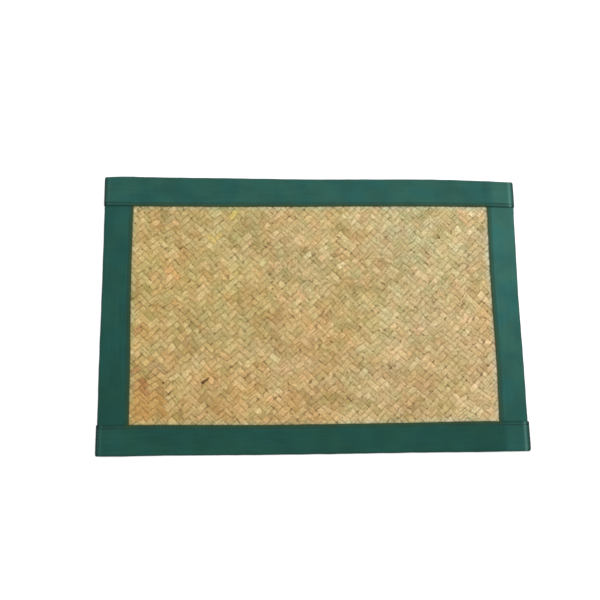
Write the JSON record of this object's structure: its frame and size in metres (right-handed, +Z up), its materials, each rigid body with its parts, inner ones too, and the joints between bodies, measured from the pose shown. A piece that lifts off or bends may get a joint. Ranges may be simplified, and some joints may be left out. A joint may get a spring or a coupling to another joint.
{
  "type": "pandanus mat",
  "caption": "Flat rectangular place mat of woven pandanus leaf, laid on the bias, bound along its edges with folded strips of dark green cloth.",
  "frame": {"origin": "middle of the mat on the surface that it lies on", "axes": "+X along the long side to the right, +Y from the near edge to the far edge, +Z up out of the face"},
  "size_m": [0.452, 0.302, 0.0049],
  "materials": {
    "pandanus_leaf": "split leaf strands woven two over and two under, dry, faintly glossy, straw and tan with green, rust and cream strands",
    "green_cloth": "plain-woven dyed cotton, matt with a soft sheen, sewn with thread of the same green"
  },
  "bodies": {
    "root": {"woven_panel": "pandanus_leaf", "binding_left": "green_cloth", "binding_right": "green_cloth", "binding_far": "green_cloth", "binding_near": "green_cloth"}
  },
  "joints": []
}
